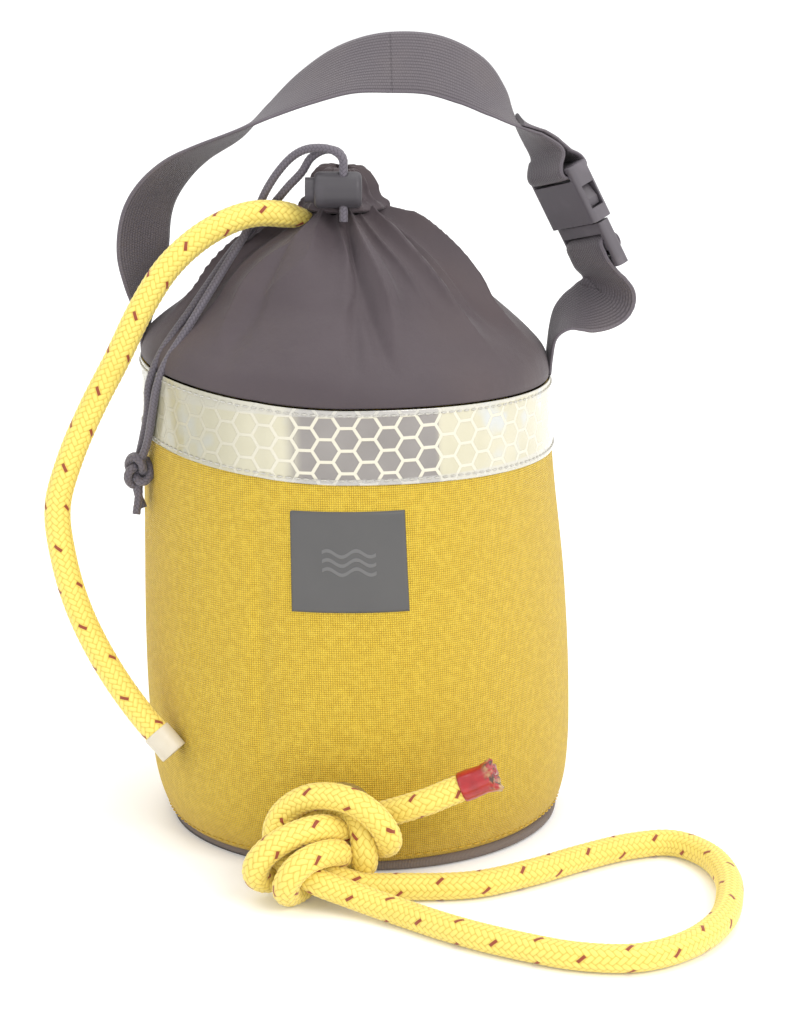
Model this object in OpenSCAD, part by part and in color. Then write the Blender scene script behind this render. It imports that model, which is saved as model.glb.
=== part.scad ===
// Throw rope bag: a round cloth bag with a gathered top, a webbing handle with a
// side-release buckle, a floating line inside it and a knotted hand loop at the foot.
// Origin: centre of the base's underside. +Z up, the label and the knot face -Y.

/* [Bag] */
// Largest radius of the wall
bag_r = 79; // [75:0.5:84]
// Radius of the wall under the reflective band
band_r = 75; // [72:0.5:78]
// Height of the wall's top edge
wall_top = 170; // [165:1:175]
// Thickness of the coated cloth, with its lining
cloth_t = 1.6; // [1.2:0.1:2.2]
// Height of the reflective band
band_h = 26; // [20:1:30]
// Width of the front patch
label_w = 41.5; // [30:0.5:50]
// Height of the front patch
label_h = 36; // [25:0.5:40]

/* [Line] */
// Diameter of the floating line
rope_d = 9.5; // [8:0.1:11]
// Diameter of the drawcord
cord_d = 3; // [2.5:0.1:3.2]

/* [Handle] */
// Width of the webbing
web_w = 25; // [20:1:26]
// Thickness of the webbing
web_t = 1.6; // [1.2:0.1:2]
// Height of the fold line where the handle leaves its sewn ends
fold_z = 184; // [183:0.5:186]

/* [Buckle] */
// Width of the buckle
buckle_w = 32; // [30:0.5:34]
// Thickness of the buckle's socket
buckle_t = 8.4; // [8:0.1:10]
// Length of the socket
socket_l = 22; // [21:0.5:24]
// Length of the insert below the socket
insert_l = 18.2; // [17:0.1:20]

/* [Cord lock] */
// Diameter of the cord lock's barrel
lock_d = 13; // [12:0.5:14]
// Diameter of its plunger
plunger_d = 9; // [8:0.1:9.5]
// How far the plunger travels
plunger_travel = 2; // [1.5:0.1:2]

/* [Hidden] */
$fn = 96;

rope_r = rope_d / 2;
cord_r = cord_d / 2;
gap = 0.3;                       // clearance between parts that move on each other

// The wall's outline from the base up, as [radius, height]
wall_outline = [[bag_r - 6.4, 4], [bag_r - 3.5, 9], [bag_r - 1.4, 18], [bag_r - 0.2, 32],
    [bag_r, 50], [bag_r - 0.1, 70], [bag_r - 0.7, 90], [band_r, 138], [band_r, wall_top]];
cone_low = wall_outline[6];      // ends of the straight cone that carries the patch
cone_high = wall_outline[7];

// The crown's outline from the wall up to the neck, round a slightly shifted axis
crown_shift = -3;
crown_outline = [[74.2, wall_top], [73, 177], [64, 188.5], [54, 198.5], [48.5, 205.5],
    [40, 213], [33, 219], [25, 224], [16, 228]];
neck_outline = [[8, 228.3], [16, 228.3], [15, 231], [12.5, 234], [11.5, 238],
    [9.5, 241.5], [5.5, 244], [3.5, 244], [3.5, 240], [6, 236], [8, 231]];
pile_outline = [[0, 16], [68, 16], [68, 165], [60, 181], [50, 193], [36, 206],
    [20, 212], [0, 214]];

// Where the line leaves the foot of the wall
grommet_pos = [-4, 0, 26];
grommet_r = 5.4;
flange_y = -bag_r + 0.05;        // just outside the wall's widest part
washer_y = -73.9;                // just inside the lining

// Routes of the cords' centre lines
tail_route = [[-9, -5, 222], [-24, -13, 228], [-38, -19, 229], [-53, -24, 223],
    [-66, -28, 212], [-76, -31, 197], [-85, -33, 179], [-94, -35, 162], [-102, -37, 144],
    [-107, -38, 126], [-105, -40, 107], [-99.5, -42, 88], [-90, -45, 69], [-79, -48, 53],
    [-66.5, -52, 39]];
standing_route = [[-4, -69, 26], [-4, -81, 26], [-6, -90, 24]];
loop_route = [[-4, -98, 5], [20, -99, 5], [42, -97, 5], [62, -86, 5], [82, -71, 5],
    [100, -60, 5], [115, -57, 5], [126, -68, 5], [131, -88, 5], [130, -108, 5],
    [124, -131, 5], [111, -150, 5], [94, -160.5, 5], [75, -159.5, 5], [55, -150.5, 5],
    [36, -138.5, 5], [16, -122, 5], [-4, -106, 5]];
knot_tail_route = [[4, -95, 26], [20, -93, 32], [35, -92, 38], [47, -92, 43]];
front_cord_route = [[-4, -22.2, 227], [-4, -22.2, 237], [-4, -22.2, 248.4],
    [-5.6, -21.8, 251], [-9, -20.8, 252.6], [-13.5, -19, 252.8], [-18, -16.5, 251.8],
    [-22.5, -14, 249], [-27.5, -12, 243.5], [-32, -10.5, 236.5], [-35.5, -10.5, 229],
    [-40, -12, 220.5], [-45.5, -17.5, 212], [-51, -24.5, 203.5], [-58.5, -33, 192],
    [-67.5, -38.5, 178], [-70.5, -37.5, 170], [-72.5, -35, 160], [-75, -31, 148],
    [-78, -28.6, 140]];
back_cord_route = [[-4, -17.8, 229], [-4, -17.8, 238], [-4, -17.8, 248.4],
    [-6, -17.2, 251.2], [-10.4, -15.8, 251.8], [-15.6, -14.2, 248.8], [-19, -13, 243.5],
    [-24, -10.8, 238], [-28.5, -8.5, 232.5], [-33.5, -7, 226.5], [-39, -6.5, 220.5],
    [-44.5, -8, 214.5], [-50, -14, 207.5], [-58.5, -23.5, 196], [-69, -32.5, 181.5],
    [-73.5, -33.5, 170.5], [-74.5, -30.5, 160], [-77, -26.5, 148], [-79, -25, 140]];
tie_pos = [-79, -27, 137];       // knot in the drawcord's two ends
tie_r = 6;

// Handle: each step is [x, z, roll of the webbing about its own path, in degrees]
hinge_y = 4;
left_anchor = [[-78, 171, 0], [-78.3, 177, 0], [-78.4, fold_z - 0.4, 0]];
right_anchor = [[72.4, 171.4, 0], [73, 177.5, 0], [75, fold_z - 0.8, -4]];
long_steps = [[-78.4, fold_z, 0], [-78.4, 189, -8], [-78.6, 195, -20], [-79, 202, -32],
    [-79.5, 214, -46], [-78, 225, -43], [-74, 234, -36], [-66, 243, -28], [-56, 249, -19],
    [-44, 255, -12], [-32, 263.5, 5], [-17, 273, 25], [-2, 279.5, 40], [13, 282, 48],
    [27, 281, 45], [39, 276.5, 35], [48.7, 269.2, 20]];
end_steps = [[49.2, 268.8, 20], [51, 267.3, 17], [56, 261.6, 8], [61, 256, -4],
    [65.5, 251.6, -16], [69.6, 247.4, -26], [73.8, 240.5, -30]];
short_steps = [[75.4, fold_z + 0.9, 2], [77, 187, 6], [81, 190, 14], [87, 191.5, 24],
    [92.3, 195, 28], [93.8, 200.5, 30], [91.8, 205.8, 30], [88.8, 210.8, 30]];

// Buckle: its own frame has +Z along the webbing towards the socket, Y across it
buckle_pos = [82.5, hinge_y, 223];
buckle_tilt = -26.5;
buckle_roll = 30;
cavity_w = buckle_w - 5.6;
cavity_t = 5.2;
window_z = [5, 14];
arm_pivot = [0, 10.5, 1.2];
arm_root_r = 1.6;

// Cord lock: its barrel lies along X, and the two cords cross it upright
lock_pos = [-7, -20, 238];
lock_l = 17;
lock_x = [-7.5, 9.5];            // ends of the barrel from lock_pos
cord_x = 3;                      // where the cords cross it
strand_y = 2.2;                  // half the spacing of the two cords
bore_end = 8.8;
pin_end = 4.5;                   // inner end of the plunger at rest

function unit(v) = v / norm(v);
function tangent(p, i) = unit(p[min(i + 1, len(p) - 1)] - p[max(i - 1, 0)]);
function spin(c, u, v, r, n) = [for (k = [0:n - 1])
    c + r * (cos(k * 360 / n) * u + sin(k * 360 / n) * v)];
function tube_rings(p, r, n, up) = [for (i = [0:len(p) - 1])
    let (t = tangent(p, i), u = unit(cross(up, t))) spin(p[i], u, cross(t, u), r, n)];
function wall_r_at(z) = cone_low.x
    + (z - cone_low.y) * (cone_high.x - cone_low.x) / (cone_high.y - cone_low.y);
function inset(outline, d) = [for (i = [len(outline) - 1:-1:0])
    [outline[i].x - d, outline[i].y]];

// A ribbon's corners at one step: width and thickness about the path
function ribbon_ring(steps, i, y, w, t) =
    let (p = [for (s = steps) [s.x, y, s.y]],
        along = tangent(p, i),
        out = [-along.z, 0, along.x],
        a = steps[i].z,
        wide = cos(a) * [0, 1, 0] + sin(a) * out,
        thick = cos(a) * out - sin(a) * [0, 1, 0])
    [for (c = [[1, 1], [-1, 1], [-1, -1], [1, -1]])
        p[i] + c.x * w / 2 * wide + c.y * t / 2 * thick];

// Joins rings of points into one closed skin. Each four-sided patch is cut along a
// diagonal, the same way on both faces of a ribbon, so that a twist keeps its thickness.
function patch(a, b, n, back) = back
    ? [[a, a + n, b], [b, a + n, b + n]]
    : [[a, a + n, b + n], [a, b + n, b]];

module skin(rings) {
    n = len(rings[0]);
    m = len(rings);
    polyhedron(
        points = [for (r = rings) each r],
        faces = concat(
            [[for (k = [0:n - 1]) k]],
            [[for (k = [n - 1:-1:0]) (m - 1) * n + k]],
            [for (i = [0:m - 2], k = [0:n - 1])
                each patch(i * n + k, i * n + (k + 1) % n, n, k >= n / 2)]));
}

module ribbon(steps, w, t) {
    skin([for (i = [0:len(steps) - 1]) ribbon_ring(steps, i, hinge_y, w, t)]);
}

// Turns a shape drawn up +Z so that it runs from point a towards point b
module aim(a, b) {
    d = unit(b - a);
    translate(a) rotate([0, acos(d.z), atan2(d.y, d.x)]) children();
}

module ring(r_out, r_in, h) {
    difference() {
        cylinder(r = r_out, h = h);
        translate([0, 0, -1]) cylinder(r = r_in, h = h + 2);
    }
}

module round_bar(t, w, r) {
    square([t - 2 * r, w], center = true);
    square([t, w - 2 * r], center = true);
    for (sx = [-1, 1], sy = [-1, 1])
        translate([sx * (t / 2 - r), sy * (w / 2 - r)]) circle(r = r, $fn = 32);
}

// A sector of a revolved outline, centred on the direction given in degrees
module sector(width_deg, facing) {
    rotate([0, 0, facing - width_deg / 2]) rotate_extrude(angle = width_deg) children();
}

module grommet_hole(r) {
    translate(grommet_pos) rotate([90, 0, 0]) cylinder(r = r, h = 100);
}

module line_mouth() {
    aim(tail_route[0], tail_route[1]) translate([0, 0, -8]) cylinder(r = rope_r + 0.7, h = 40);
}

module base_panel() {
    color([0.30, 0.28, 0.27]) cylinder(r = bag_r - 9, h = 2);
}

module base_binding() {
    color([0.49, 0.44, 0.41]) ring(bag_r - 5.5, bag_r - 9, 4);
}

module wall_panel() {
    color([0.88, 0.71, 0.16]) difference() {
        rotate_extrude() polygon(concat(wall_outline, inset(wall_outline, cloth_t)));
        grommet_hole(grommet_r + 1.1);
    }
}

module back_seam() {
    steps = [for (i = [1:7]) wall_outline[i]];
    color([0.80, 0.64, 0.14]) sector(8, 90)
        polygon(concat(inset(steps, -1.1), [for (s = steps) [s.x + 0.1, s.y]]));
}

module reflective_band() {
    color([0.84, 0.83, 0.76]) translate([0, 0, wall_top - 1 - band_h])
        ring(band_r + 0.75, band_r + 0.05, band_h);
}

module label_patch() {
    z = [98, 98 + label_h];
    color([0.42, 0.42, 0.43]) sector(label_w / bag_r * 180 / PI, -91.5)
        polygon([[wall_r_at(z[0]) + 0.05, z[0]], [wall_r_at(z[0]) + 0.75, z[0]],
            [wall_r_at(z[1]) + 0.75, z[1]], [wall_r_at(z[1]) + 0.05, z[1]]]);
}

module crown() {
    color([0.27, 0.25, 0.29]) difference() {
        translate([crown_shift, 0, 0]) rotate_extrude()
            polygon(concat(crown_outline, inset(crown_outline, cloth_t)));
        line_mouth();
    }
}

module neck_channel() {
    color([0.25, 0.23, 0.27]) difference() {
        translate([crown_shift, 0, 0]) rotate_extrude() polygon(neck_outline);
        line_mouth();
    }
}

module foam_disc() {
    color([0.62, 0.64, 0.66]) translate([0, 0, 3]) cylinder(r = 66, h = 12);
}

module line_grommet() {
    color([0.62, 0.60, 0.55]) translate([grommet_pos.x, 0, grommet_pos.z])
        rotate([90, 0, 0]) difference() {
            union() {
                translate([0, 0, -flange_y]) cylinder(r = 10.5, h = 1.1);
                translate([0, 0, -washer_y - 1.6]) cylinder(r = grommet_r + 1, h = 7);
            }
            cylinder(r = grommet_r, h = 100);
        }
}

module grommet_washer() {
    color([0.55, 0.54, 0.50]) translate([grommet_pos.x, washer_y, grommet_pos.z])
        rotate([-90, 0, 0]) ring(10.5, grommet_r + 1.05, 1);
}

module rope_pile() {
    color([0.93, 0.84, 0.30]) rotate_extrude() polygon(pile_outline);
}

module rope_standing() {
    color([0.95, 0.86, 0.32]) skin(tube_rings(standing_route, rope_r, 12, [0, 0, 1]));
}

module rope_knot() {
    knot_r = 18.3;
    color([0.95, 0.86, 0.32]) hull()
        for (x = [-23.5, -2]) translate([x, -99.5, knot_r + 0.2]) sphere(r = knot_r, $fn = 32);
}

module rope_loop() {
    color([0.95, 0.86, 0.32]) skin(tube_rings(loop_route, rope_r, 12, [0, 0, 1]));
}

module knot_tail() {
    color([0.95, 0.86, 0.32]) skin(tube_rings(knot_tail_route, rope_r, 12, [0, 1, 0]));
}

module tail_tape() {
    color([0.75, 0.16, 0.15]) aim(knot_tail_route[2], knot_tail_route[3])
        ring(rope_r + 0.6, rope_r + 0.05, 9);
}

module rope_tail() {
    color([0.95, 0.86, 0.32]) skin(tube_rings(tail_route, rope_r, 12, [0, 1, 0]));
}

module tail_sleeve() {
    last = len(tail_route) - 1;
    color([0.88, 0.86, 0.78]) aim(tail_route[last], tail_route[last - 1])
        translate([0, 0, -0.4]) ring(rope_r + 0.5, rope_r + 0.05, 8.5);
}

module drawcord_front() {
    color([0.22, 0.20, 0.24]) skin(tube_rings(front_cord_route, cord_r, 8, [0, 1, 0]));
}

module drawcord_back() {
    color([0.22, 0.20, 0.24]) skin(tube_rings(back_cord_route, cord_r, 8, [0, 1, 0]));
}

module drawcord_knot() {
    color([0.22, 0.20, 0.24]) {
        for (z = [-2.5, 2]) translate(tie_pos + [0, 0, z]) sphere(r = tie_r);
        for (y = [-2, 2]) translate(tie_pos + [1, y, -15]) cylinder(r = cord_r, h = 12);
    }
}

module lock_place() {
    translate(lock_pos) children();
}

module cord_lock_barrel() {
    soft = 2;
    color([0.16, 0.16, 0.18]) lock_place() difference() {
        translate([lock_x[0], 0, 0]) rotate([0, 90, 0]) rotate_extrude() {
            translate([0, soft]) square([lock_d / 2, lock_l - 2 * soft]);
            square([lock_d / 2 - soft, lock_l]);
            for (z = [soft, lock_l - soft]) translate([lock_d / 2 - soft, z])
                circle(r = soft, $fn = 32);
        }
        translate([lock_x[0] - 1, 0, 0]) rotate([0, 90, 0])
            cylinder(d = plunger_d + 0.1, h = bore_end - lock_x[0] + 1);
        for (y = [-strand_y, strand_y]) translate([cord_x, y, -10])
            cylinder(r = cord_r + 0.25, h = 20, $fn = 32);
    }
}

module cord_lock_plunger() {
    color([0.20, 0.20, 0.22]) lock_place() difference() {
        translate([lock_x[0] - 3.2, 0, 0]) rotate([0, 90, 0])
            cylinder(d = plunger_d, h = pin_end - lock_x[0] + 3.2 + 0.8);
        translate([cord_x - cord_r - plunger_travel - 0.2, -strand_y - cord_r - 0.2, -10])
            cube([2 * cord_r + plunger_travel + 0.45, 2 * (strand_y + cord_r) + 0.4, 20]);
    }
}

module cord_lock_spring() {
    turns = 2.5;
    steps = 30;
    r = 2.9;
    x = [5.75, 8.4];
    coil = [for (i = [0:steps]) let (a = i / steps * 360 * turns)
        [x[0] + (x[1] - x[0]) * i / steps, r * cos(a), r * sin(a)]];
    color([0.70, 0.71, 0.72]) lock_place() skin(tube_rings(coil, 0.3, 6, [1, 0, 0]));
}

module strap_anchor_left() {
    color([0.24, 0.22, 0.26]) ribbon(left_anchor, web_w, web_t);
}

module strap_anchor_right() {
    color([0.24, 0.22, 0.26]) ribbon(right_anchor, web_w, web_t);
}

module strap_long() {
    color([0.24, 0.22, 0.26]) ribbon(long_steps, web_w, web_t);
}

module strap_end() {
    color([0.24, 0.22, 0.26]) ribbon(end_steps, web_w, web_t);
}

module strap_short() {
    color([0.24, 0.22, 0.26]) ribbon(short_steps, web_w, web_t);
}

module buckle_place() {
    translate(buckle_pos) rotate([0, buckle_tilt, 0]) rotate([0, 0, buckle_roll]) children();
}

module buckle_socket() {
    slot = [socket_l - 5.2, socket_l - 2];
    color([0.15, 0.15, 0.17]) buckle_place() difference() {
        linear_extrude(socket_l) round_bar(buckle_t, buckle_w, 2.4);
        translate([-cavity_t / 2, -cavity_w / 2, -1]) cube([cavity_t, cavity_w, 17]);
        translate([-cavity_t / 2, -buckle_w, window_z[0]])
            cube([cavity_t, 2 * buckle_w, window_z[1] - window_z[0]]);
        translate([-buckle_t, -web_w / 2 - 0.4, slot[0]])
            cube([2 * buckle_t, web_w + 0.8, slot[1] - slot[0]]);
    }
}

module buckle_insert() {
    plate_t = 5;
    top = -0.8;
    color([0.17, 0.17, 0.19]) buckle_place() difference() {
        union() {
            translate([0, 0, -insert_l]) linear_extrude(insert_l + top)
                round_bar(plate_t, buckle_w - 1, 2);
            translate([-2.1, -2.5, top - 1]) cube([4.2, 5, 13]);
        }
        for (z = [-8, -14.6]) translate([-plate_t, -web_w / 2 - 0.4, z])
            cube([2 * plate_t, web_w + 0.8, 3]);
        for (s = [-1, 1]) translate([-4, s * arm_pivot.y, arm_pivot.z]) rotate([0, 90, 0])
            cylinder(r = arm_root_r + gap, h = 8, $fn = 48);
    }
}

// One latch arm, on the +Y side: round root, beam and the lug that shows in the window
module latch_arm() {
    arm_t = 4.4;
    lug = [[9, 1.2], [12, 1.2], [12, 5.6], [14.1, 5.6], [14.8, 8.5], [12.6, 13.4], [9.6, 13.4]];
    translate([-arm_t / 2, 0, 0]) {
        rotate([90, 0, 90]) linear_extrude(arm_t) polygon(lug);
        translate([0, arm_pivot.y, arm_pivot.z]) rotate([0, 90, 0])
            cylinder(r = arm_root_r, h = arm_t, $fn = 48);
    }
}

module buckle_arm_back() {
    color([0.13, 0.13, 0.15]) buckle_place() latch_arm();
}

module buckle_arm_front() {
    color([0.13, 0.13, 0.15]) buckle_place() mirror([0, 1, 0]) latch_arm();
}

base_panel();
base_binding();
wall_panel();
back_seam();
reflective_band();
label_patch();
crown();
neck_channel();
foam_disc();
line_grommet();
grommet_washer();
rope_pile();
rope_standing();
rope_knot();
rope_loop();
knot_tail();
tail_tape();
rope_tail();
tail_sleeve();
drawcord_front();
drawcord_back();
drawcord_knot();
cord_lock_barrel();
cord_lock_plunger();
cord_lock_spring();
strap_anchor_left();
strap_anchor_right();
strap_long();
strap_end();
strap_short();
buckle_socket();
buckle_insert();
buckle_arm_front();
buckle_arm_back();
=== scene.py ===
import bpy
import math
import numpy as np
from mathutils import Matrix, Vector


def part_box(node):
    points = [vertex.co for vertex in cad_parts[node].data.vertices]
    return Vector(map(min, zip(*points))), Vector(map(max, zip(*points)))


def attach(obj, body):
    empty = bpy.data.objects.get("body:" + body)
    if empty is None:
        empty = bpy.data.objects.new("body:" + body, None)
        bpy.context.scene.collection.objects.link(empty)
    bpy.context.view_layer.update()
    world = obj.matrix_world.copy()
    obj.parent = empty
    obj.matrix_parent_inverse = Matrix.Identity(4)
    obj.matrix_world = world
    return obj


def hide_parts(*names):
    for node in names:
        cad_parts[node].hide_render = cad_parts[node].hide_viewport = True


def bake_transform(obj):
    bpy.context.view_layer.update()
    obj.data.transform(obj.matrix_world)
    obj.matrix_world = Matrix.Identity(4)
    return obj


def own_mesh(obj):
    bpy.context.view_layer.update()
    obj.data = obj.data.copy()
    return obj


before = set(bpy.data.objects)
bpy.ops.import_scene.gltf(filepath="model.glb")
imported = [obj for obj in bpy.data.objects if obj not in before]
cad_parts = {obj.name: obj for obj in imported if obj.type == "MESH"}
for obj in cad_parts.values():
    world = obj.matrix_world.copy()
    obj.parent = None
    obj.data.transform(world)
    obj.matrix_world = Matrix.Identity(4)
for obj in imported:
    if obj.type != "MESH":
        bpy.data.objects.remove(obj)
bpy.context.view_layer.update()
scene = bpy.context.scene
mm = 0.001
print("frame loaded")


# small geometry tools

def arr(points):
    return np.array(points, float)


def unit(v):
    return v / np.maximum(np.linalg.norm(v, axis=-1, keepdims=True), 1e-12)


def smoothStep(a, b, x):
    t = np.clip((x - a) / (b - a), 0, 1)
    return t * t * (3 - 2 * t)


def runOf(points):  # the distance along a path at each of its points
    return np.concatenate([[0], np.cumsum(np.linalg.norm(np.diff(points, axis=0), axis=1))])


def lengthOf(path):
    return float(runOf(path)[-1])


def resample(points, step):
    along = runOf(points)
    count = max(int(round(along[-1] / step)), 2) + 1
    where = np.linspace(0, along[-1], count)
    return np.stack([np.interp(where, along, points[:, k]) for k in range(points.shape[1])], 1)


def curveThrough(points, step):  # an even centripetal curve through given points
    p = arr(points)
    p = np.vstack([2 * p[0] - p[1], p, 2 * p[-1] - p[-2]])
    dense = []
    for a, b, c, d in zip(p[:-3], p[1:-2], p[2:-1], p[3:]):
        ta = 0.0
        tb = ta + max(np.linalg.norm(b - a), 1e-9) ** 0.5
        tc = tb + max(np.linalg.norm(c - b), 1e-9) ** 0.5
        td = tc + max(np.linalg.norm(d - c), 1e-9) ** 0.5
        t = np.linspace(tb, tc, 24, endpoint=False)[:, None]
        ab = (tb - t) / (tb - ta) * a + (t - ta) / (tb - ta) * b
        bc = (tc - t) / (tc - tb) * b + (t - tb) / (tc - tb) * c
        cd = (td - t) / (td - tc) * c + (t - tc) / (td - tc) * d
        abc = (tc - t) / (tc - ta) * ab + (t - ta) / (tc - ta) * bc
        bcd = (td - t) / (td - tb) * bc + (t - tb) / (td - tb) * cd
        dense.append((tc - t) / (tc - tb) * abc + (t - tb) / (tc - tb) * bcd)
    dense.append(p[-2][None])
    return resample(np.vstack(dense), step)


def outlineCurve(outline, step):  # the same for an outline of radius and height
    return curveThrough(np.c_[outline, np.zeros(len(outline))], step)[:, :2]


def carriedFrames(path, start=(0.3, 0.2, 1.0)):  # side vectors that don't twist about the path
    tangents = unit(np.gradient(path, axis=0))
    side = np.cross(arr(start), tangents[0])
    if np.linalg.norm(side) < 0.1:
        side = np.cross(arr((1.0, 0.1, 0.0)), tangents[0])
    sides = [unit(side)]
    for t in tangents[1:]:
        s = sides[-1] - t * np.dot(sides[-1], t)
        sides.append(unit(s))
    sides = arr(sides)
    return tangents, sides, np.cross(tangents, sides)


def linked(name, data):
    piece = bpy.data.objects.new(name, data)
    scene.collection.objects.link(piece)
    return piece


def gridMesh(name, rows, uv, closed=False, caps=False):
    n, m = rows.shape[:2]
    i, j = np.meshgrid(np.arange(n - 1), np.arange(m if closed else m - 1), indexing="ij")
    right = (j + 1) % m
    quads = np.stack([i * m + j, i * m + right, (i + 1) * m + right, (i + 1) * m + j], -1)
    faces = quads.reshape(-1, 4).tolist()
    spots = (i, j), (i, j + 1), (i + 1, j + 1), (i + 1, j)
    corners = [np.stack([sheet[spot] for sheet in uv], -1) for spot in spots]
    corners = np.stack(corners, 2).reshape(-1, 2)
    if caps:
        faces.append(list(range(m))[::-1])
        faces.append(list(range((n - 1) * m, n * m)))
        corners = np.vstack([corners, np.zeros((2 * m, 2))])
    mesh = bpy.data.meshes.new(name)
    mesh.from_pydata(rows.reshape(-1, 3).tolist(), [], faces)
    layer = mesh.uv_layers.new(name="cloth")
    layer.data.foreach_set("uv", corners.astype(np.float32).ravel())
    ends = 2 if caps else 0  # end faces stay flat
    mesh.polygons.foreach_set("use_smooth", [True] * (len(faces) - ends) + [False] * ends)
    mesh.update()
    return linked(name, mesh)


def joined(name, pieces):
    for p in bpy.context.selected_objects:
        p.select_set(False)
    for p in pieces:
        p.select_set(True)
    bpy.context.view_layer.objects.active = pieces[0]
    bpy.ops.object.join()
    pieces[0].name = name
    pieces[0].data.name = name
    return pieces[0]


def place(piece, body, slot, material, *nodes):
    piece.data.materials.clear()
    piece.data.materials.append(material)
    if body:
        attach(piece, body)
    if nodes:
        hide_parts(*nodes)
    return piece


# shader writing

def newNode(tree, kind, settings, values, out=0):  # settings first, then each socket's value or link
    node = tree.nodes.new("ShaderNode" + kind)
    for key, value in settings.items():
        setattr(node, key, value)
    for slot, value in values.items():
        if isinstance(value, Socket):
            tree.links.new(value.out, node.inputs[slot])
        else:
            node.inputs[slot].default_value = value
    return Socket(tree, node.outputs[out])


class Socket:
    def __init__(self, tree, out):
        self.tree = tree
        self.out = out

    def math(self, operation, *others):
        return newNode(self.tree, "Math", {"operation": operation}, dict(enumerate((self, *others))))

    def __add__(self, other):
        return self.math("ADD", other)

    def __radd__(self, other):
        return self.math("ADD", other)

    def __sub__(self, other):
        return self.math("SUBTRACT", other)

    def __rsub__(self, other):
        return newNode(self.tree, "Math", {"operation": "SUBTRACT"}, {0: other, 1: self})

    def __mul__(self, other):
        return self.math("MULTIPLY", other)

    def __rmul__(self, other):
        return self.math("MULTIPLY", other)

    def __truediv__(self, other):
        return self.math("DIVIDE", other)

    def __pow__(self, other):
        return self.math("POWER", other)

    def __mod__(self, other):
        return self.math("FLOORED_MODULO", other)

    def __lt__(self, other):
        return self.math("LESS_THAN", other)

    def floor(self):
        return self.math("FLOOR")

    def part(self):
        return self.math("FRACT")

    def size(self):
        return self.math("ABSOLUTE")

    def wave(self):
        return self.math("SINE")

    def least(self, other):
        return self.math("MINIMUM", other)

    def most(self, other):
        return self.math("MAXIMUM", other)

    def spread(self):  # 0 halfway from 0 to 1, and 1 at both ends
        return ((self - 0.5) * 2).size()

    def ribs(self, pitch):  # round ribs side by side
        return (self / pitch * math.pi).wave().size()

    def soft(self, low, high):  # 0 up to low, 1 from high
        return newNode(self.tree, "MapRange", {"interpolation_type": "SMOOTHSTEP"},
                       {"Value": self, "From Min": low, "From Max": high}, "Result")


class Finish:
    def __init__(self, name, **fixed):
        self.material = bpy.data.materials.new(name)
        self.material.use_nodes = True
        self.tree = self.material.node_tree
        self.shader = self.tree.nodes["Principled BSDF"]
        for key, value in fixed.items():
            self.shader.inputs[key.replace("_", " ")].default_value = value

    def add(self, kind, settings=None, out=0, **values):
        return newNode(self.tree, kind, settings or {}, values, out)

    def uv(self):
        return self.apart(self.add("UVMap", {"uv_map": "cloth"}))

    def apart(self, vector):
        outputs = self.add("SeparateXYZ", Vector=vector).out.node.outputs
        return [Socket(self.tree, out) for out in outputs]

    def spot(self):  # the point's place on the object
        return self.add("TexCoord", out="Object")

    def noise(self, scale, detail=3.0, rough=0.55):
        return self.add("TexNoise", Vector=self.spot(), Scale=scale, Detail=detail, Roughness=rough)

    def blend(self, how, a, b):
        a, b = [colour if isinstance(colour, Socket) else (*colour, 1) for colour in (a, b)]
        return newNode(self.tree, "Mix", {"data_type": "RGBA"}, {0: how, 6: a, 7: b}, 2)

    def bump(self, height, distance, strength=1.0, over=None):
        under = {"Normal": over} if over else {}
        return self.add("Bump", Strength=strength, Distance=distance, Height=height, **under)

    def feed(self, **inputs):
        for key, value in inputs.items():
            self.tree.links.new(value.out, self.shader.inputs[key.replace("_", " ")])
        return self.material


# camera

cameraSet = {"place": (0.0134, -1.0, 0.369), "down": 14.27, "lens": 97.03}
cameraData = bpy.data.cameras.new("studioCamera")
cameraData.lens = cameraSet["lens"]
cameraData.sensor_width = 36
camera = linked("studioCamera", cameraData)
camera.location = cameraSet["place"]
camera.rotation_euler = (math.radians(90 - cameraSet["down"]), 0, 0)
scene.camera = camera
scene.view_settings.view_transform = "Standard"


# the line: braided rope

ropeLook = {"radius": 4.75 * mm, "sides": 56, "strands": 12, "cell": 2.49 * mm, "relief": 0.34 * mm,
            "ringStep": 0.5 * mm}


def braidHeight(u, s, strands, cell):  # two strands over, two under, both ways round
    a = strands * u + s / cell
    b = strands * u - s / cell
    turn = np.mod(np.floor(a) + np.floor(b), 4)
    fa, fb = np.mod(a, 1), np.mod(b, 1)
    first = turn < 2
    cross = np.where(first, fa, fb)
    run = np.where(first, (turn + fb) / 2, (turn - 2 + fa) / 2)
    crown = np.sqrt(np.clip(1 - (2 * cross - 1) ** 2, 0, 1))
    return crown * np.clip(np.sin(np.pi * run), 0, 1) ** 0.45


def braidedTube(name, path, look, taper=None, start=(0.3, 0.2, 1.0)):
    path = resample(path, look["ringStep"])
    _, side, up = carriedFrames(path, start)
    s = runOf(path)
    k = np.arange(look["sides"] + 1) / look["sides"]
    height = braidHeight(k[None, :], s[:, None], look["strands"], look["cell"])
    r = look["radius"] - look["relief"] * (0.72 - height)
    if taper is not None:
        r = r * taper(s)[:, None]
    angle = 2 * np.pi * k[None, :, None]
    ring = path[:, None] + r[..., None] * (np.cos(angle) * side[:, None] + np.sin(angle) * up[:, None])
    uv = np.broadcast_to(k, height.shape), np.broadcast_to(s[:, None], height.shape)
    return gridMesh(name, ring[:, :-1], uv, closed=True, caps=True)
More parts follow.
